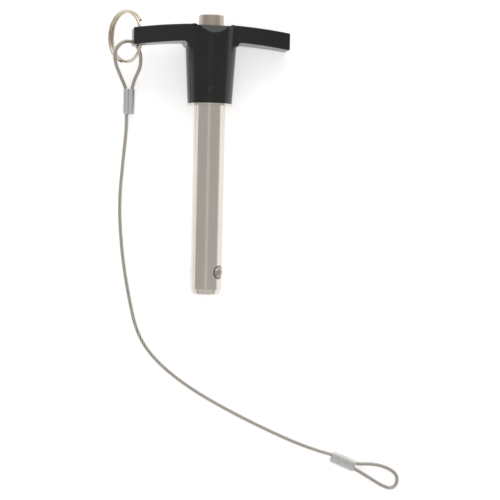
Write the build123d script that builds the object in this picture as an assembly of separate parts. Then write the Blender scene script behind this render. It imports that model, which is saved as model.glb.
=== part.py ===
from build123d import *
import os
from math import asin, atan, atan2, cos, degrees, hypot, pi, radians, sin, tan

# Ball lock pin: a T handle on a ground pin, a push button whose spindle lets two balls drop in,
# and a split ring that ties a wire-rope lanyard to one arm of the handle.
#
# Each piece of the pin is modelled standing up: +Z runs along the pin towards the button, the arms
# lie along X, the front is -Y, and the origin is on the axis at the underside of the flange.
# lay_down() then puts it in its own frame, lying on a floor as it comes to rest: X along the
# arms, Y along the pin towards the button, Z up, with the same origin.

os.makedirs("parts", exist_ok=True)

# ---- driving sizes, in millimetres and degrees ----
shank_diameter = 12.7
shank_length = 76.2          # from the flange's underside to the nose
grip_length = 64.0           # ground to size; past it the end tapers a hair, to enter its hole easily
end_taper = 0.03
nose_length = 2.15
nose_drop = 0.75             # how far the nose tapers in
nose_round = 0.6
flange_diameter = 18.0
flange_thickness = 0.8
spigot_diameter = 9.0        # the shank's end inside the handle
spigot_length = 16.0
bore_diameter = 5.1
bore_end_wall = 1.3

ball_diameter = 5.0
ball_proud = 1.15            # how far a ball stands out of the shank
ball_from_nose = 9.1
ball_turn = 45.0             # from the handle's front towards its right arm
ball_hole_wall = 0.05        # running clearance round a ball
ball_seat_depth = 0.9        # the lip that keeps the ball in starts this far below the surface
ball_lip_radius = 2.2
stake_inner_radius = 2.42    # the staked groove round the lip
stake_outer_radius = 2.75
stake_depth = 0.4

press_travel = 4.0
ball_travel = 1.2
land_gap = 0.03              # between a ball and the spindle
spindle_gap = 0.08           # between the spindle and its bore
neck_radius = 1.25
shoulder_clear = 2.3         # the upper shoulder stays this far above the pressed ball's centre
spindle_below_ball = 3.0
slot_end_gap = 0.3

hub_base_diameter = 17.96
hub_flare = 3.25             # half-angle of the hub's cone
span = 63.3
crown_height = 32.3          # top of the arms on the pin's axis, above the flange's underside
arm_droop = 2.3              # how far the arms' top falls from the axis to a tip
arm_tip_height = 6.9
arm_belly_rise = 2.45        # how far the arms' underside rises from a tip to the axis
arm_tip_depth = 10.0
arm_root_depth = 15.0        # on the pin's axis
arm_fillet = 1.5             # under the arms, where they leave the hub
edge_round = 0.5

deck_drop = 0.79             # the flat deck round the button lies this far below the crown
deck_half_width = 6.4
deck_side_run = 1.3          # the deck's sloping side walls
facet_start = 8.97           # the front and back facets start this far from the axis
facet_angle = 61.5
button_diameter = 10.0
button_gap = 0.10
button_proud = 4.85          # above the deck
button_height = 10.9
button_round = 0.4
button_pin_diameter = 3.5    # the spindle's end inside the button
button_pin_length = 7.0
fit_gap = 0.02               # between pieces that are pressed together

cross_pin_diameter = 2.4
cross_pin_height = 6.5
cross_pin_turn = 6.0         # drilled this far off square, away from the ball side
cross_pin_recess = 0.2

spring_wire = 0.8
spring_mean_radius = 3.7
spring_turns = 4.5

ring_outer_diameter = 21.5
ring_wire = 1.3
ring_turn_gap = 0.12
ring_start_angle = 31.0      # the ring's two wire ends, from the arm, anticlockwise
ring_end_angle = 253.0
ring_yaw = 4.3               # the ring leans this far in its loose hole
ring_drop = 1.7              # the ring's centre lies this far below the arm tip's top
ring_hole_diameter = 4.2
ring_hole_inset = 3.3
ring_play = 0.55             # the hinge line runs this far inside the ring's mean circle

cable_diameter = 1.59         # 1/16 in
ferrule_length = 10.4
ferrule_width = 5.1
ferrule_thickness = 3.4
ferrule_crease = 0.25
ferrule_round = 0.4
leg_spacing = 1.7            # between the cable's two legs in a ferrule

# The lanyard's route, as X, Y and the height of the cable's middle above the floor: the loop
# through the ring, the long run from one ferrule to the other, and the end loop.
ring_loop = [
    (-32.54, 1.2, 1.7),
    (-32.54, 6.0, 1.7),
    (-31.2, 11.1, 2.2),
    (-28.6, 16.3, 3.4),
    (-28.8, 21.8, 5.2),
    (-31.1, 25.5, 7.4),
    (-35.5, 25.8, 8.7),
    (-38.9, 22.1, 8.7),
    (-39.1, 17.4, 6.4),
    (-36.9, 12.0, 3.4),
]
long_run = [
    (-34.24, 6.2, 1.7),
    (-34.24, -2.4, 1.7),
    (-34.2, -9.6, 0.86),
    (-35.3, -22.1, 0.82),
    (-36.6, -40.6, 0.82),
    (-34.9, -60.7, 0.82),
    (-32.0, -77.0, 0.82),
    (-28.2, -93.0, 0.82),
    (-20.9, -103.5, 0.82),
    (-7.2, -114.4, 0.82),
    (12.3, -125.1, 0.82),
    (34.5, -135.2, 0.82),
    (46.4, -139.4, 0.86),
    (53.36, -140.95, 1.7),
    (62.66, -144.75, 1.7),
]
end_loop = [
    (69.6, -144.3, 1.2),
    (76.2, -145.9, 1.0),
    (80.1, -148.8, 0.86),
    (80.0, -152.9, 0.82),
    (77.2, -154.6, 0.82),
    (73.0, -152.9, 0.82),
    (68.3, -150.0, 1.1),
    (62.04, -146.35, 1.7),
    (56.94, -144.25, 1.7),
]

# ---- what follows from them ----
shank_radius = shank_diameter / 2
end_radius = shank_radius - end_taper
ball_radius = ball_diameter / 2
ball_level = -shank_length + ball_from_nose
ball_reach = shank_radius + ball_proud - ball_radius
spigot_top = flange_thickness + spigot_length
deck_height = crown_height - deck_drop
button_top = deck_height + button_proud
button_bottom = button_top - button_height
arm_top_at_tip = crown_height - arm_droop
arm_bottom_at_tip = arm_top_at_tip - arm_tip_height
belly_height = arm_bottom_at_tip + arm_belly_rise
half_span = span / 2
ring_hole_at = half_span - ring_hole_inset
ring_level = arm_top_at_tip - ring_drop
ring_mean_radius = (ring_outer_diameter - ring_wire) / 2
ring_half_step = (ring_wire + ring_turn_gap) / 2
cone_angle = degrees(atan(ball_travel / press_travel))
OVER = 20.0                  # how far a cutting tool runs past what it cuts
JOIN = 0.1                   # how far a piece runs into the one it is fused with
BASE = (Align.CENTER, Align.CENTER, Align.MIN)


def hub_radius(height):
    """Radius of the hub's cone at a height above the flange's underside."""
    return hub_base_diameter / 2 + (height - flange_thickness) * tan(radians(hub_flare))


def radial(angle, height):
    """Location on the axis whose +Z points outwards, at an angle from the front to the right arm."""
    return Pos(0, 0, height) * Rot(Z=angle) * Rot(X=90)


def arm_top(x):
    """A point of the arm's upper side, which falls away evenly from the pin's axis."""
    return x, crown_height - arm_droop * (x / half_span) ** 2


def arm_belly(x):
    """A point of the arm's underside."""
    return x, belly_height - arm_belly_rise * (x / half_span) ** 2


def right_arm():
    """One arm with its rounded edges, from the pin's axis out."""
    root_x = hub_radius(belly_height) - JOIN
    bend_end = arm_belly(root_x + arm_fillet)
    shelf = bend_end[1] - arm_fillet
    bend = arm_fillet * cos(radians(45))
    front_view = make_face([
        ThreePointArc(arm_belly(half_span), arm_belly((half_span + bend_end[0]) / 2), bend_end),
        ThreePointArc(bend_end, (bend_end[0] - bend, shelf + bend), (root_x, shelf)),
        Line((root_x, shelf), (0, shelf)),
        Line((0, shelf), (0, crown_height)),
        ThreePointArc(arm_top(0), arm_top(half_span / 2), arm_top(half_span)),
        Line(arm_top(half_span), arm_belly(half_span)),
    ])
    tip, root = arm_tip_depth / 2, arm_root_depth / 2
    plan_view = make_face(Polyline((half_span, -tip), (half_span, tip), (0, root), (0, -root), close=True))
    arm = extrude(Plane.XZ * front_view, OVER, both=True) & extrude(plan_view, crown_height)
    corners = arm.edges().filter_by(Axis.Z).group_by(Axis.X)[-1]
    arm = fillet(corners, edge_round)
    outer = arm.edges().filter_by(lambda edge: edge.center().X > half_span * 0.4)
    rims = outer.filter_by(lambda edge: edge.bounding_box().size.Z < arm_tip_height / 2)
    return fillet(rims, edge_round)


def t_handle():
    """Hub and arms in one piece, with its deck, facets, bores and holes."""
    top = crown_height
    hub = Cone(hub_radius(flange_thickness), hub_radius(top), top - flange_thickness, align=BASE)
    hub = Pos(0, 0, flange_thickness) * hub
    arm = right_arm()
    body = hub + arm + arm.mirror(Plane.YZ)
    above = make_face([
        ThreePointArc(arm_top(-half_span), arm_top(0), arm_top(half_span)),
        Polyline(arm_top(half_span), (half_span, top + OVER), (-half_span, top + OVER), arm_top(-half_span)),
    ])
    body -= extrude(Plane.XZ * above, OVER, both=True)

    wall = deck_half_width + deck_side_run * (top - deck_height) / deck_drop
    deck = make_face(Polyline(
        (-deck_half_width, deck_height), (deck_half_width, deck_height), (wall, top), (-wall, top),
        close=True,
    ))
    body -= extrude(Plane.XZ * deck, OVER, both=True)
    facet_rise = tan(radians(facet_angle))
    facet_far = facet_start + OVER / 2
    facet = make_face(Polyline(
        (facet_start - 1 / facet_rise, deck_height + 1), (facet_far, deck_height + 1),
        (facet_far, deck_height - (facet_far - facet_start) * facet_rise), close=True,
    ))
    facet_tool = extrude(Plane.YZ * facet, OVER, both=True)
    body -= facet_tool
    body -= Rot(Z=180) * facet_tool

    button_bore = Cylinder(button_diameter / 2 + button_gap, OVER * 2, align=BASE)
    body -= Pos(0, 0, spigot_top) * button_bore
    body -= Cylinder(spigot_diameter / 2 + fit_gap, spigot_top, align=BASE)
    body -= radial(-cross_pin_turn, cross_pin_height) * Cylinder(cross_pin_diameter / 2 + fit_gap, OVER * 2)
    hole = Cylinder(ring_hole_diameter / 2, OVER)
    body -= Pos(-ring_hole_at, 0, (arm_top_at_tip + arm_bottom_at_tip) / 2) * hole
    return body


def shank():
    """The ground pin: flange, spigot, blind bore, and the two staked ball holes."""
    outline = Polyline(
        (0, -shank_length), (end_radius - nose_drop, -shank_length),
        (end_radius, -shank_length + nose_length), (shank_radius, -grip_length), (shank_radius, 0),
        (flange_diameter / 2, 0), (flange_diameter / 2, flange_thickness),
        (spigot_diameter / 2, flange_thickness), (spigot_diameter / 2, spigot_top), (0, spigot_top),
        close=True,
    )
    body = revolve(Plane.XZ * make_face(outline), Axis.Z)
    nose = body.edges().filter_by(GeomType.CIRCLE).sort_by(Axis.Z)[0]
    body = fillet(nose, nose_round)
    bore_length = shank_length - bore_end_wall + spigot_top + OVER
    bore = Cylinder(bore_diameter / 2, bore_length, align=BASE)
    body -= Pos(0, 0, -shank_length + bore_end_wall) * bore

    seat = shank_radius - ball_seat_depth
    hole_radius = ball_radius + ball_hole_wall
    lip_slope = (hole_radius - ball_lip_radius) / ball_seat_depth
    hole = revolve(Plane.XZ * make_face(Polyline(
        (0, 0), (hole_radius, 0), (hole_radius, seat), (ball_lip_radius - lip_slope, shank_radius + 1),
        (0, shank_radius + 1), close=True,
    )), Axis.Z)
    groove = Cylinder(stake_outer_radius, OVER, align=BASE)
    groove -= Cylinder(stake_inner_radius, OVER, align=BASE)
    groove -= Rot(X=90) * Cylinder(shank_radius - stake_depth, OVER * 2)
    for angle in (ball_turn, ball_turn + 180):
        body -= radial(angle, ball_level) * hole
        body -= radial(angle, ball_level) * groove
    body -= radial(-cross_pin_turn, cross_pin_height) * Cylinder(cross_pin_diameter / 2 + fit_gap, OVER * 2)
    return body


def cross_pin():
    """The pin that locks the shank in the handle; its ends follow the hub."""
    bottom, top = hub_radius(0) - cross_pin_recess, hub_radius(crown_height) - cross_pin_recess
    cone = Cone(bottom, top, crown_height, align=BASE)
    return cone & (radial(-cross_pin_turn, cross_pin_height) * Cylinder(cross_pin_diameter / 2, OVER * 2))


def spindle():
    """The plunger: a land that holds the balls out, a cone and a neck that let them in."""
    land_radius = bore_diameter / 2 - spindle_gap
    slope = ball_travel / press_travel
    normal = (ball_radius + land_gap) / cos(radians(cone_angle))
    cone_start = ball_level + (ball_reach - land_radius - normal) / slope
    cone_end = cone_start + (land_radius - neck_radius) / slope
    shoulder = ball_level + press_travel + shoulder_clear
    pin_radius = button_pin_diameter / 2
    outline = Polyline(
        (0, ball_level - spindle_below_ball), (land_radius, ball_level - spindle_below_ball),
        (land_radius, cone_start), (neck_radius, cone_end), (neck_radius, shoulder),
        (land_radius, shoulder), (land_radius, button_bottom), (pin_radius, button_bottom),
        (pin_radius, button_bottom + button_pin_length), (0, button_bottom + button_pin_length), close=True,
    )
    body = revolve(Plane.XZ * make_face(outline), Axis.Z)
    half_slot = cross_pin_diameter / 2 + slot_end_gap
    slot_length = 2 * half_slot + press_travel
    slot = Box(2 * half_slot, OVER, slot_length)
    slot_middle = cross_pin_height - half_slot + slot_length / 2
    return body - Pos(0, 0, slot_middle) * Rot(Z=-cross_pin_turn) * slot


def button():
    """The push button, pressed on the spindle."""
    body = Cylinder(button_diameter / 2, button_height, align=BASE)
    body = fillet(body.edges().sort_by(Axis.Z)[-1], button_round)
    pin_hole = Cylinder(button_pin_diameter / 2 + fit_gap, button_pin_length + fit_gap, align=BASE)
    return Pos(0, 0, button_bottom) * (body - pin_hole)


def return_spring():
    """The coil spring under the button, round the spindle."""
    height = button_bottom - spigot_top - spring_wire
    path = Helix(height / spring_turns, height, spring_mean_radius)
    section = Plane(path @ 0, z_dir=path % 0) * Circle(spring_wire / 2)
    return Pos(0, 0, spigot_top + spring_wire / 2) * sweep(section, path, is_frenet=True)


def ball(angle):
    """A locking ball, held out by the spindle."""
    return radial(angle, ball_level) * Pos(0, 0, ball_reach) * Sphere(ball_radius)


def split_ring():
    """Two turns of wire, with one crossing over between the wire's ends; the arm's hole is at +X."""
    sweep_angle = ring_end_angle - ring_start_angle
    lower = Pos(0, 0, -ring_half_step) * CenterArc((0, 0), ring_mean_radius, ring_start_angle, sweep_angle)
    upper = Pos(0, 0, ring_half_step) * CenterArc((0, 0), ring_mean_radius, ring_start_angle, sweep_angle)
    crossing_angle = 360 - sweep_angle
    middle = ring_end_angle + crossing_angle / 2
    middle_point = (ring_mean_radius * cos(radians(middle)), ring_mean_radius * sin(radians(middle)), 0)
    crossing = Spline(lower @ 1, middle_point, upper @ 0, tangents=(lower % 1, upper % 0))
    path = Wire([lower, crossing, upper])
    section = Plane(path @ 0, z_dir=path % 0) * Circle(ring_wire / 2)
    return sweep(section, path)


def rest_attitude():
    """Tilt, roll and height at which the nose, the hub's back rim and the right arm meet a floor."""
    nose_edge = shank_length - nose_length
    flare = tan(radians(hub_flare))
    rise = tan(radians(facet_angle))
    tip_x = half_span - edge_round
    tip_y = arm_tip_depth / 2 - edge_round
    tilt, roll = 0.0, 0.0
    for _ in range(6):
        # the facet's lower edge, where the hub's lowest line crosses it
        out = (facet_start * rise + deck_height - flange_thickness + hub_base_diameter / 2 / flare) / (
            rise * cos(roll) + 1 / flare)
        rim_height = flange_thickness + (out - hub_base_diameter / 2) / flare
        tilt = atan((out - end_radius) / (rim_height + nose_edge))
        height = end_radius * cos(tilt) + nose_edge * sin(tilt)
        reach = (height + arm_bottom_at_tip * sin(tilt) - edge_round) / cos(tilt)
        roll = asin(reach / hypot(tip_x, tip_y)) - atan2(tip_y, tip_x)
    return tilt, roll, height


tilt, roll, axis_height = rest_attitude()
lying = Rot(X=degrees(tilt)) * Rot(Y=degrees(roll)) * Rot(X=-90)


def lay_down(piece):
    """Turn a piece of the standing pin to the way the pin lies on the floor."""
    return lying * piece


def ring_lean(hole_height):
    """Angle from the floor at which the ring leans from its hole down to the floor."""
    across = 2 * ring_mean_radius - ring_play
    drop = hole_height - ring_wire / 2
    return asin(drop / hypot(across, ring_half_step)) - atan2(ring_half_step, across)


hinge_point = (lying * Pos(-ring_hole_at, 0, ring_level)).position
lean = ring_lean(hinge_point.Z + axis_height)
ring_lying = Rot(Z=ring_yaw) * Rot(Y=-degrees(lean))
ring_place = Pos(*hinge_point) * ring_lying * Pos(ring_play - ring_mean_radius, 0, 0)


def bend_radii(points):
    """Nearly the largest arc that each corner's two runs leave room for."""
    share = 0.45
    radii = []
    for before, corner, after in zip(points, points[1:], points[2:]):
        turn = radians((corner - before).get_angle(after - corner))
        radii.append(share * min((corner - before).length, (after - corner).length) / tan(turn / 2))
    return radii


def route_point(x, y, height):
    """A point of the lanyard's route in the part's own frame."""
    return Vector(x, y, height - axis_height)


def lanyard_cable():
    """One wire rope: its loop through the ring, its long run and its end loop."""
    route = [route_point(*point) for point in ring_loop + long_run + end_loop]
    radii = bend_radii(route)
    path = FilletPolyline(*route, radius=radii)
    cable = sweep(Plane(path @ 0, z_dir=path % 0) * Circle(cable_diameter / 2), path)
    section_volume = pi * cable_diameter**2 / 4 * path.length
    print("cable length", round(path.length, 1), "volume ratio", round(cable.volume / section_volume, 4))
    print("cable bend radii", [round(radius, 1) for radius in radii])
    return cable


def ferrule(start, end, side):
    """A swaged oval sleeve round two legs of the cable, creased along between them."""
    start, end = route_point(*start), route_point(*end)
    along = Vector(end.X - start.X, end.Y - start.Y, 0).normalized()
    across = Vector(-along.Y, along.X, 0) * side
    middle = (start + end) * 0.5 + across * (leg_spacing / 2)
    outside = SlotOverall(ferrule_width, ferrule_thickness)
    inside = SlotOverall(leg_spacing + cable_diameter + 2 * fit_gap, cable_diameter + 2 * fit_gap)
    body = extrude(outside, ferrule_length / 2, both=True)
    ends = body.edges().filter_by(lambda edge: abs(abs(edge.center().Z) - ferrule_length / 2) < 0.01)
    body = fillet(ends, ferrule_round)
    body -= extrude(inside, ferrule_length, both=True)
    groove = Rot(Z=45) * Box(ferrule_crease * 2**0.5, ferrule_crease * 2**0.5, ferrule_length * 2)
    body -= Pos(0, ferrule_thickness / 2, 0) * groove
    body -= Pos(0, -ferrule_thickness / 2, 0) * groove
    return Plane(origin=middle, x_dir=across, z_dir=along).location * body


nodes = {
    "t_handle": lay_down(t_handle()),
    "shank": lay_down(shank()),
    "cross_pin": lay_down(cross_pin()),
    "spindle": lay_down(spindle()),
    "button": lay_down(button()),
    "return_spring": lay_down(return_spring()),
    "ball_front": lay_down(ball(ball_turn)),
    "ball_back": lay_down(ball(ball_turn + 180)),
    "split_ring": ring_place * split_ring(),
    "lanyard_cable": lanyard_cable(),
    "upper_ferrule": ferrule(long_run[0], long_run[1], 1),
    "lower_ferrule": ferrule(long_run[-2], long_run[-1], -1),
}
for name, piece in nodes.items():
    export_step(piece, f"parts/{name}.step")

print("tilt", round(degrees(tilt), 3), "roll", round(degrees(roll), 3), "floor", round(-axis_height, 3))
print("ring lean", round(degrees(lean), 2), "hinge point", hinge_point)
print("pin axis", lay_down(Line((0, 0, 0), (0, 0, 1))) % 0)
for angle in (ball_turn, ball_turn + 180):
    print("ball way in", lay_down(radial(angle, ball_level) * Line((0, 0, 1), (0, 0, 0))) % 0)
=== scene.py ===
from math import atan, cos, pi, radians, sin
import bpy
import numpy as np
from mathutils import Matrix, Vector


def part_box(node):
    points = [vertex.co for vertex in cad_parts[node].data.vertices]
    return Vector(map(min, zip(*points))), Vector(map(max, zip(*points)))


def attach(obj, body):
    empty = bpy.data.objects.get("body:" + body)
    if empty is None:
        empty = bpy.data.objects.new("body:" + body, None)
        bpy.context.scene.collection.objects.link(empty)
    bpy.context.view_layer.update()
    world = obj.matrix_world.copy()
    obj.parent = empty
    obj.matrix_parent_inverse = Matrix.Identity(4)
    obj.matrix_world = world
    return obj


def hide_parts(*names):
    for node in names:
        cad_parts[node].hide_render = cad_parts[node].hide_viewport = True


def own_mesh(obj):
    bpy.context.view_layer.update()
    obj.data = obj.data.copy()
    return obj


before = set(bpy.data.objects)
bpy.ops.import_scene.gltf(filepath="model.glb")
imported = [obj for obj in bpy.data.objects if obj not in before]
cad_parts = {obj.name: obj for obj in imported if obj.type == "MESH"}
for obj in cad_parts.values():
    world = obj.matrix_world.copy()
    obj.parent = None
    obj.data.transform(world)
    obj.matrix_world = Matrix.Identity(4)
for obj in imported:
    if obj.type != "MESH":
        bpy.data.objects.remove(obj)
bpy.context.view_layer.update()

# Ball lock pin lying on a white table, with its split ring and wire-rope lanyard.
# Lengths are in metres; mm() turns a drawing size into them.


def mm(size):
    """A size in millimetres as metres."""
    return size / 1000


floor_height = -mm(9.372)        # the pin rests on its nose, its hub's back rim and one arm

groove_radius = mm(2.58)         # of the groove staked round a ball
groove_half_width = mm(0.2)

rope_diameter = mm(1.59)         # 1/16 in
outer_strands = 6
strand_radius = rope_diameter / 6
rope_lay = mm(9.5)               # one turn of a strand round the rope
wires_in_strand = 6              # round its middle wire
wire_lay = mm(4.2)
strand_sides = 12
rope_step = mm(0.42)             # between the rings of a strand's mesh

# The lanyard's route, in millimetres, as X, Y and the height of the rope's middle above the floor:
# the loop through the ring, the long run from one ferrule to the other, and the end loop.
ring_loop = [
    (-32.54, 1.2, 1.7),
    (-32.54, 6.0, 1.7),
    (-31.2, 11.1, 2.2),
    (-28.6, 16.3, 3.4),
    (-28.8, 21.8, 5.2),
    (-31.1, 25.5, 7.4),
    (-35.5, 25.8, 8.7),
    (-38.9, 22.1, 8.7),
    (-39.1, 17.4, 6.4),
    (-36.9, 12.0, 3.4),
]
long_run = [
    (-34.24, 6.2, 1.7),
    (-34.24, -2.4, 1.7),
    (-34.2, -9.6, 0.86),
    (-35.3, -22.1, 0.82),
    (-36.6, -40.6, 0.82),
    (-34.9, -60.7, 0.82),
    (-32.0, -77.0, 0.82),
    (-28.2, -93.0, 0.82),
    (-20.9, -103.5, 0.82),
    (-7.2, -114.4, 0.82),
    (12.3, -125.1, 0.82),
    (34.5, -135.2, 0.82),
    (46.4, -139.4, 0.86),
    (53.36, -140.95, 1.7),
    (62.66, -144.75, 1.7),
]
end_loop = [
    (69.6, -144.3, 1.2),
    (76.2, -145.9, 1.0),
    (80.1, -148.8, 0.86),
    (80.0, -152.9, 0.82),
    (77.2, -154.6, 0.82),
    (73.0, -152.9, 0.82),
    (68.3, -150.0, 1.1),
    (62.04, -146.35, 1.7),
    (56.94, -144.25, 1.7),
]


# ---- materials ----

def linear(hex_colour):
    """An sRGB hex colour as the linear values that a socket takes."""
    channels = [int(hex_colour[start:start + 2], 16) / 255 for start in (1, 3, 5)]
    return [c / 12.92 if c <= 0.04045 else ((c + 0.055) / 1.055) ** 2.4 for c in channels] + [1]


def per(size_in_mm):
    """The texture scale that gives a pattern this spacing."""
    return 1000 / size_in_mm


# A Mix node's inputs and output for colours, which share their names with those for numbers.
first_colour, second_colour, mixed_colour = 6, 7, 2


def add(tree, kind, inputs=None, **settings):
    """Adds a node with its settings; an input is a value or another node's output."""
    made = tree.nodes.new(kind)
    for name, value in settings.items():
        setattr(made, name, value)
    for name, value in (inputs or {}).items():
        if isinstance(value, bpy.types.NodeSocket):
            tree.links.new(value, made.inputs[name])
        else:
            made.inputs[name].default_value = value
    return made


def new_material(name):
    """An empty material and its node tree."""
    made = bpy.data.materials.new(name)
    made.use_nodes = True
    made.node_tree.nodes.clear()
    return made, made.node_tree


def close(tree, shader):
    """Links a shader to the material's output."""
    add(tree, "ShaderNodeOutputMaterial", {"Surface": shader})


def stretched_noise(tree, coordinates, spacing, detail=3.0):
    """Noise whose spacing along X, Y and Z is given in millimetres."""
    scale = [per(size) for size in spacing]
    mapped = add(tree, "ShaderNodeMapping", {"Vector": coordinates, "Scale": scale})
    noise = add(tree, "ShaderNodeTexNoise", {"Vector": mapped.outputs[0], "Scale": 1.0, "Detail": detail})
    return noise.outputs["Fac"]


def between(tree, factor, low, high):
    """Runs from low to high as a noise goes over its middle range."""
    made = add(tree, "ShaderNodeMapRange", {
        "Value": factor, "From Min": 0.3, "From Max": 0.7, "To Min": low, "To Max": high,
    })
    return made.outputs["Result"]


def tinted(tree, factor, first, second):
    """A colour between two hex colours."""
    ramp = add(tree, "ShaderNodeValToRGB", {"Fac": factor})
    ramp.color_ramp.elements[0].position = 0.3
    ramp.color_ramp.elements[0].color = linear(first)
    ramp.color_ramp.elements[1].position = 0.7
    ramp.color_ramp.elements[1].color = linear(second)
    return ramp.outputs["Color"]


def black_anodised_aluminium():
    """Machined aluminium, bead blasted and dyed black: a dark satin with a very fine grain."""
    made, tree = new_material("black_anodised_aluminium")
    place = add(tree, "ShaderNodeTexCoord").outputs["Object"]
    blast = stretched_noise(tree, place, (0.22, 0.22, 0.22), 4.0)
    cloud = stretched_noise(tree, place, (9, 9, 9))
    bump = add(tree, "ShaderNodeBump", {"Strength": 0.15, "Distance": mm(0.02), "Height": blast})
    shader = add(tree, "ShaderNodeBsdfPrincipled", {
        "Base Color": tinted(tree, cloud, "#151413", "#1b1a19"),
        "Roughness": between(tree, cloud, 0.19, 0.25),
        "IOR": 1.5,
        "Normal": bump.outputs["Normal"],
    })
    close(tree, shader.outputs[0])
    return made


def painted_groove_shade(tree, place):
    """1 in the grooves staked round the balls, where the shank gets its painted shade, and 0 elsewhere.

    Both balls lie on one line across the pin, and the grooves are rings about that line."""
    low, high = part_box("ball_front")
    front = (low + high) / 2
    low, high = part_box("ball_back")
    across = (front - (low + high) / 2).normalized()
    from_ball = add(tree, "ShaderNodeVectorMath", {0: place, 1: front}, operation="SUBTRACT")
    aside = add(tree, "ShaderNodeVectorMath", {0: from_ball.outputs[0], 1: across}, operation="CROSS_PRODUCT")
    distance = add(tree, "ShaderNodeVectorMath", {0: aside.outputs[0]}, operation="LENGTH")
    inside = add(tree, "ShaderNodeMath", {
        0: distance.outputs["Value"], 1: groove_radius, 2: groove_half_width,
    }, operation="COMPARE")
    return inside.outputs[0]


def ground_stainless():
    """Stainless steel, centreless ground: fine lines run round the pin and blur what it mirrors.

    The staked grooves are painted darker, as painted shade."""
    made, tree = new_material("ground_stainless")
    place = add(tree, "ShaderNodeTexCoord").outputs["Object"]
    # real grinding lines are about 0.02 mm apart; drawn coarser so that they show
    lines = stretched_noise(tree, place, (30, 0.12, 30), 2.0)
    cloud = stretched_noise(tree, place, (7, 30, 7))
    bump = add(tree, "ShaderNodeBump", {"Strength": 0.12, "Distance": mm(0.005), "Height": lines})
    clean = tinted(tree, cloud, "#dcd5cb", "#e3dcd2")
    groove_shade = painted_groove_shade(tree, place)
    # painted shade: the staked grooves get a dark colour in place of the shade that falls in them
    colour = add(tree, "ShaderNodeMix", {
        "Factor": groove_shade, first_colour: clean, second_colour: linear("#5b554d"),
    }, data_type="RGBA")
    shader = add(tree, "ShaderNodeBsdfPrincipled", {
        "Base Color": colour.outputs[mixed_colour],
        "Metallic": 1.0,
        "Roughness": between(tree, cloud, 0.17, 0.22),
        "Normal": bump.outputs["Normal"],
    })
    close(tree, shader.outputs[0])
    return made


def turned_stainless():
    """Stainless steel as turned on a lathe: tool lines round the button, a little darker."""
    made, tree = new_material("turned_stainless")
    place = add(tree, "ShaderNodeTexCoord").outputs["Object"]
    lines = stretched_noise(tree, place, (6, 0.2, 6), 2.0)
    cloud = stretched_noise(tree, place, (5, 5, 5))
    bump = add(tree, "ShaderNodeBump", {"Strength": 0.4, "Distance": mm(0.015), "Height": lines})
    shader = add(tree, "ShaderNodeBsdfPrincipled", {
        "Base Color": tinted(tree, cloud, "#c2b6a9", "#cec2b5"),
        "Metallic": 1.0,
        "Roughness": between(tree, cloud, 0.34, 0.44),
        "Normal": bump.outputs["Normal"],
    })
    close(tree, shader.outputs[0])
    return made


def polished_ball_steel():
    """Hardened ball steel, lapped bright and then dulled where it rubs in the holes that it locks."""
    made, tree = new_material("polished_ball_steel")
    place = add(tree, "ShaderNodeTexCoord").outputs["Object"]
    rubs = stretched_noise(tree, place, (0.5, 2.5, 0.5), 4.0)
    shader = add(tree, "ShaderNodeBsdfPrincipled", {
        "Base Color": tinted(tree, rubs, "#b0a69b", "#c4bab0"),
        "Metallic": 1.0,
        "Roughness": between(tree, rubs, 0.35, 0.5),
    })
    close(tree, shader.outputs[0])
    return made


def nickel_plated_wire():
    """Drawn spring wire with a nickel plate: a warm bright metal, slightly uneven along the wire."""
    made, tree = new_material("nickel_plated_wire")
    place = add(tree, "ShaderNodeTexCoord").outputs["Object"]
    cloud = stretched_noise(tree, place, (1.4, 1.4, 1.4), 4.0)
    bump = add(tree, "ShaderNodeBump", {"Strength": 0.25, "Distance": mm(0.02), "Height": cloud})
    shader = add(tree, "ShaderNodeBsdfPrincipled", {
        "Base Color": tinted(tree, cloud, "#cdc1b1", "#dcd1c2"),
        "Metallic": 1.0,
        "Roughness": between(tree, cloud, 0.24, 0.36),
        "Normal": bump.outputs["Normal"],
    })
    close(tree, shader.outputs[0])
    return made


def black_oxide_steel():
    """Steel pin with a black oxide skin: nearly as dark as the handle, with a duller shine."""
    made, tree = new_material("black_oxide_steel")
    place = add(tree, "ShaderNodeTexCoord").outputs["Object"]
    cloud = stretched_noise(tree, place, (0.8, 0.8, 0.8), 4.0)
    bump = add(tree, "ShaderNodeBump", {"Strength": 0.4, "Distance": mm(0.03), "Height": cloud})
    shader = add(tree, "ShaderNodeBsdfPrincipled", {
        "Base Color": tinted(tree, cloud, "#141312", "#1d1c1a"),
        "Roughness": between(tree, cloud, 0.3, 0.45),
        "IOR": 1.6,
        "Normal": bump.outputs["Normal"],
    })
    close(tree, shader.outputs[0])
    return made


def oil_tempered_spring_wire():
    """Spring steel wire with its blue-grey oxide skin."""
    made, tree = new_material("oil_tempered_spring_wire")
    place = add(tree, "ShaderNodeTexCoord").outputs["Object"]
    cloud = stretched_noise(tree, place, (1.5, 1.5, 1.5), 4.0)
    shader = add(tree, "ShaderNodeBsdfPrincipled", {
        "Base Color": tinted(tree, cloud, "#5d5f62", "#6f7072"),
        "Metallic": 1.0,
        "Roughness": between(tree, cloud, 0.35, 0.5),
    })
    close(tree, shader.outputs[0])
    return made


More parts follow.
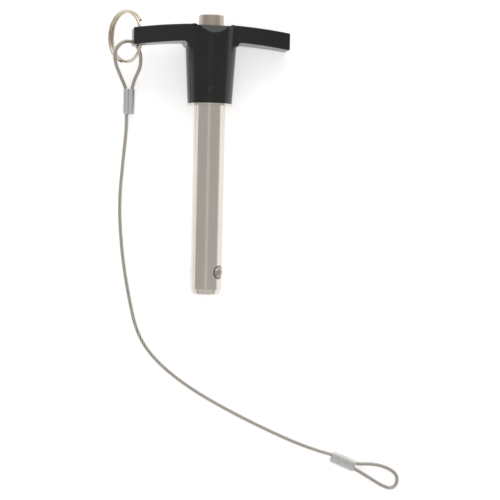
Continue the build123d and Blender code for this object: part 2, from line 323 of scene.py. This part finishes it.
def stainless_wire_rope():
    """Strands of drawn stainless wires: each wire has a painted highlight along its crown and painted shade
    at its sides.

    The gaps between the strands get more painted shade, darker still."""
    made, tree = new_material("stainless_wire_rope")
    along_and_round = add(tree, "ShaderNodeUVMap", uv_map="strand").outputs["UV"]
    parts = add(tree, "ShaderNodeSeparateXYZ", {"Vector": along_and_round})
    # U counts turns of the wires along the strand, and V turns round it
    around = add(tree, "ShaderNodeMath", {0: parts.outputs["Y"], 1: parts.outputs["X"]}, operation="SUBTRACT")
    phase = add(tree, "ShaderNodeMath", {
        0: around.outputs[0], 1: 2 * pi * wires_in_strand,
    }, operation="MULTIPLY")
    wave = add(tree, "ShaderNodeMath", {0: phase.outputs[0]}, operation="COSINE")
    crown = add(tree, "ShaderNodeMapRange", {"Value": wave.outputs[0], "From Min": -1.0, "From Max": 0.4})
    # the crown attribute is 1 on the rope's outside and falls to about 0.6 where two strands meet
    outside = add(tree, "ShaderNodeAttribute", attribute_name="crown").outputs["Fac"]
    outside = add(tree, "ShaderNodeMapRange", {"Value": outside, "From Min": 0.72, "From Max": 0.96})
    place = add(tree, "ShaderNodeTexCoord").outputs["Object"]
    cloud = stretched_noise(tree, place, (1.2, 1.2, 1.2), 3.0)
    bump = add(tree, "ShaderNodeBump", {
        "Strength": 0.8, "Distance": mm(0.04), "Height": crown.outputs["Result"],
    })
    # painted highlight on each wire's crown, painted shade between the wires
    wire_shade = add(tree, "ShaderNodeMix", {
        "Factor": crown.outputs["Result"], first_colour: linear("#cbc3b8"),
        second_colour: tinted(tree, cloud, "#f7f0e7", "#fcf7f0"),
    }, data_type="RGBA")
    # painted shade in the gaps where two strands meet
    strand_shade = add(tree, "ShaderNodeMix", {
        "Factor": outside.outputs["Result"], first_colour: linear("#3f3a33"),
        second_colour: wire_shade.outputs[mixed_colour],
    }, data_type="RGBA")
    shader = add(tree, "ShaderNodeBsdfPrincipled", {
        "Base Color": strand_shade.outputs[mixed_colour],
        "Metallic": 1.0,
        "Roughness": between(tree, cloud, 0.32, 0.44),
        "Normal": bump.outputs["Normal"],
    })
    close(tree, shader.outputs[0])
    return made


def bare_aluminium():
    """Soft aluminium squeezed in a die: pale and satin, with shallow dents along the sleeve."""
    made, tree = new_material("bare_aluminium")
    place = add(tree, "ShaderNodeTexCoord").outputs["Object"]
    dents = stretched_noise(tree, place, (0.9, 1.8, 0.9), 4.0)
    bump = add(tree, "ShaderNodeBump", {"Strength": 0.5, "Distance": mm(0.05), "Height": dents})
    shader = add(tree, "ShaderNodeBsdfPrincipled", {
        "Base Color": tinted(tree, dents, "#dcdedb", "#e7e8e5"),
        "Metallic": 1.0,
        "Roughness": between(tree, dents, 0.34, 0.46),
        "Normal": bump.outputs["Normal"],
    })
    close(tree, shader.outputs[0])
    return made


def white_card():
    """The table: matt white card, plain white to the eye and to mirrors, with the pin's soft shadow."""
    made, tree = new_material("white_card")
    card = add(tree, "ShaderNodeBsdfDiffuse", {"Color": linear("#f2f2f2")})
    rays = add(tree, "ShaderNodeLightPath")
    seen = add(tree, "ShaderNodeMath", {
        0: rays.outputs["Is Camera Ray"], 1: rays.outputs["Is Glossy Ray"],
    }, operation="MAXIMUM")
    seen = add(tree, "ShaderNodeMath", {
        0: seen.outputs[0], 1: rays.outputs["Is Transmission Ray"],
    }, operation="MAXIMUM")
    # lamps and tent light the card to a pale grey, and this lifts it to white
    lift = add(tree, "ShaderNodeMath", {0: seen.outputs[0], 1: 0.55}, operation="MULTIPLY")
    glow = add(tree, "ShaderNodeEmission", {"Color": linear("#ffffff"), "Strength": lift.outputs[0]})
    both = add(tree, "ShaderNodeAddShader", {0: card.outputs[0], 1: glow.outputs[0]})
    close(tree, both.outputs[0])
    return made


# ---- the wire rope ----

def rope_line():
    """The rope's middle as evenly spaced points, read from a smooth curve over the route."""
    route = [(mm(x), mm(y), floor_height + mm(height)) for x, y, height in ring_loop + long_run + end_loop]
    curve = bpy.data.curves.new("rope_route", "CURVE")
    curve.dimensions = "3D"
    spline = curve.splines.new("NURBS")
    spline.points.add(len(route) - 1)
    for point, place in zip(spline.points, route):
        point.co = (*place, 1)
    spline.order_u = 3
    spline.use_endpoint_u = True
    spline.resolution_u = 24
    holder = bpy.data.objects.new("rope_route", curve)
    mesh = bpy.data.meshes.new_from_object(holder)
    points = np.array([vertex.co for vertex in mesh.vertices])
    bpy.data.objects.remove(holder)
    travelled = distance_along(points)
    even = np.linspace(0, travelled[-1], round(travelled[-1] / rope_step))
    return np.stack([np.interp(even, travelled, points[:, axis]) for axis in range(3)], axis=1)


def unit(vectors):
    """Vectors made one long."""
    return vectors / np.linalg.norm(vectors, axis=-1, keepdims=True)


def side_directions(line):
    """Two directions across a line at each of its points, carried along it without twist."""
    ahead = unit(np.gradient(line, axis=0))
    side = unit(np.cross(ahead[0], (0, 0, 1)))
    first = []
    for direction in ahead:
        side = unit(side - direction * side.dot(direction))
        first.append(side)
    first = np.array(first)
    return first, np.cross(ahead, first)


def distance_along(line):
    """How far each point lies along a line."""
    return np.concatenate([[0], np.cumsum(np.linalg.norm(np.diff(line, axis=0), axis=1))])


def circle_about(line, radius, turns):
    """The points of a helix about a line, at these turns round it."""
    first, second = side_directions(line)
    angle = 2 * pi * turns[:, None]
    return line + radius * (first * np.cos(angle) + second * np.sin(angle))


def strand(line, number):
    """One strand's line: the middle one is straight and the others lie round it."""
    if number == 0:
        return line
    turns = distance_along(line) / rope_lay + number / outer_strands
    return circle_about(line, 2 * strand_radius, turns)


def rope_mesh(middle):
    """The rope's seven strands as one mesh of tubes, closed at their ends.

    Its UV counts turns of the wires along a strand and turns round it, and its crown attribute is how
    far out a point lies."""
    corners, crowns, faces, strand_uv = [], [], [], []
    for number in range(outer_strands + 1):
        line = strand(middle, number)
        first, second = side_directions(line)
        wire_turns = distance_along(line) / wire_lay
        start = len(corners)
        for side in range(strand_sides):
            angle = 2 * pi * side / strand_sides
            edge = line + strand_radius * (first * cos(angle) + second * sin(angle))
            corners.append(edge)
            crowns.append(np.linalg.norm(edge - middle, axis=1) / (rope_diameter / 2))
        rings = len(line)
        for ring in range(rings - 1):
            for side in range(strand_sides):
                after = (side + 1) % strand_sides
                quad = [(side, ring), (after, ring), (after, ring + 1), (side, ring + 1)]
                faces.append([(start + column) * rings + row for column, row in quad])
                # the last side ends at one whole turn, not back at 0
                turns_round = [side, side + 1, side + 1, side]
                strand_uv += [
                    (wire_turns[row], turn / strand_sides) for turn, (_, row) in zip(turns_round, quad)
                ]
        for row, columns in ((0, range(strand_sides - 1, -1, -1)), (rings - 1, range(strand_sides))):
            faces.append([(start + column) * rings + row for column in columns])
            strand_uv += [(wire_turns[row], 0.0)] * strand_sides
    mesh = bpy.data.meshes.new("wire_rope")
    mesh.from_pydata(np.concatenate(corners).tolist(), [], faces)
    layer = mesh.uv_layers.new(name="strand")
    layer.data.foreach_set("uv", np.array(strand_uv).ravel())
    crown = mesh.attributes.new("crown", "FLOAT", "POINT")
    crown.data.foreach_set("value", np.concatenate(crowns))
    mesh.shade_smooth()
    return mesh


def wire_rope():
    """The lanyard's rope, in place of the frame's plain round one."""
    middle = rope_line()
    rope = bpy.data.objects.new("wire_rope", rope_mesh(middle))
    bpy.context.scene.collection.objects.link(rope)
    rope.data.materials.append(stainless_wire_rope())
    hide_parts("lanyard_cable")
    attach(rope, "lanyard")


# ---- the pieces that the frame already shapes ----

def finish_nodes():
    """Gives each solid of the frame its material."""
    turned = turned_stainless()
    finishes = {
        "t_handle": black_anodised_aluminium(),
        "shank": ground_stainless(),
        "button": turned,
        "spindle": turned,
        "cross_pin": black_oxide_steel(),
        "ball_front": polished_ball_steel(),
        "split_ring": nickel_plated_wire(),
        "return_spring": oil_tempered_spring_wire(),
        "upper_ferrule": bare_aluminium(),
    }
    finishes["ball_back"] = finishes["ball_front"]
    finishes["lower_ferrule"] = finishes["upper_ferrule"]
    for name, finish in finishes.items():
        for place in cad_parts[name].material_slots:
            place.material = finish


def squash_spring():
    """Gives the return spring a mesh of its own."""
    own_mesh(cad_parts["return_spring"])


# ---- the studio ----

def table():
    """The white card that the pin lies on."""
    reach = 6.0
    corners = [(-reach, -reach), (reach, -reach), (reach, reach), (-reach, reach)]
    mesh = bpy.data.meshes.new("table")
    mesh.from_pydata([(x, y, floor_height) for x, y in corners], [], [(0, 1, 2, 3)])
    made = bpy.data.objects.new("table", mesh)
    bpy.context.scene.collection.objects.link(made)
    made.data.materials.append(white_card())


def tent():
    """A pale grey light tent, which runs into the white table at its foot."""
    world = bpy.data.worlds.new("tent")
    world.use_nodes = True
    tree = world.node_tree
    tree.nodes.clear()
    direction = add(tree, "ShaderNodeTexCoord").outputs["Generated"]
    parts = add(tree, "ShaderNodeSeparateXYZ", {"Vector": direction})
    ramp = add(tree, "ShaderNodeValToRGB", {"Fac": parts.outputs["Z"]})
    ramp.color_ramp.elements[0].position = 0.0
    ramp.color_ramp.elements[0].color = linear("#ffffff")
    ramp.color_ramp.elements[1].position = sin(radians(4))
    ramp.color_ramp.elements[1].color = linear("#bababa")
    sky = add(tree, "ShaderNodeBackground", {"Color": ramp.outputs["Color"], "Strength": 1.0})
    add(tree, "ShaderNodeOutputWorld", {"Surface": sky.outputs[0]})
    bpy.context.scene.world = world


def softbox(name, place, width, length, level):
    """A flat lamp that faces the pin; it adds this level to what a mirror sees there, where 1 is white."""
    lamp = bpy.data.lights.new(name, "AREA")
    lamp.shape = "RECTANGLE"
    lamp.size = width
    lamp.size_y = length
    lamp.energy = 4 * level * width * length
    made = bpy.data.objects.new(name, lamp)
    made.location = place
    made.rotation_euler = (-Vector(place)).to_track_quat("-Z", "Y").to_euler()
    bpy.context.scene.collection.objects.link(made)


def lights():
    """A faint long softbox over the pin, a bright one beyond its handle and a faint one beyond its nose.

    The shank doesn't mirror the two at its ends."""
    softbox("overhead_softbox", (0.0, -0.05, 1.1), 0.36, 1.2, 0.12)
    softbox("back_softbox", (0.0, 1.1, 0.72), 1.4, 0.8, 1.3)
    softbox("front_softbox", (0.0, -1.1, 0.72), 3.0, 0.8, 0.14)


def camera():
    """Looks straight down from a little over half a metre, turned slightly."""
    lens_height = mm(570)
    seen_width = mm(202.3)       # at the level of the pin's axis
    turn = radians(1.27)
    made = bpy.data.objects.new("camera", bpy.data.cameras.new("camera"))
    made.data.angle = 2 * atan(seen_width / 2 / lens_height)
    made.data.clip_end = 50
    made.location = (mm(17.63), -mm(57.87), lens_height)
    made.rotation_euler = (0, 0, turn)
    bpy.context.scene.collection.objects.link(made)
    bpy.context.scene.camera = made


bpy.context.scene.view_settings.view_transform = "Standard"
camera()
table()
tent()
lights()
wire_rope()
finish_nodes()
squash_spring()
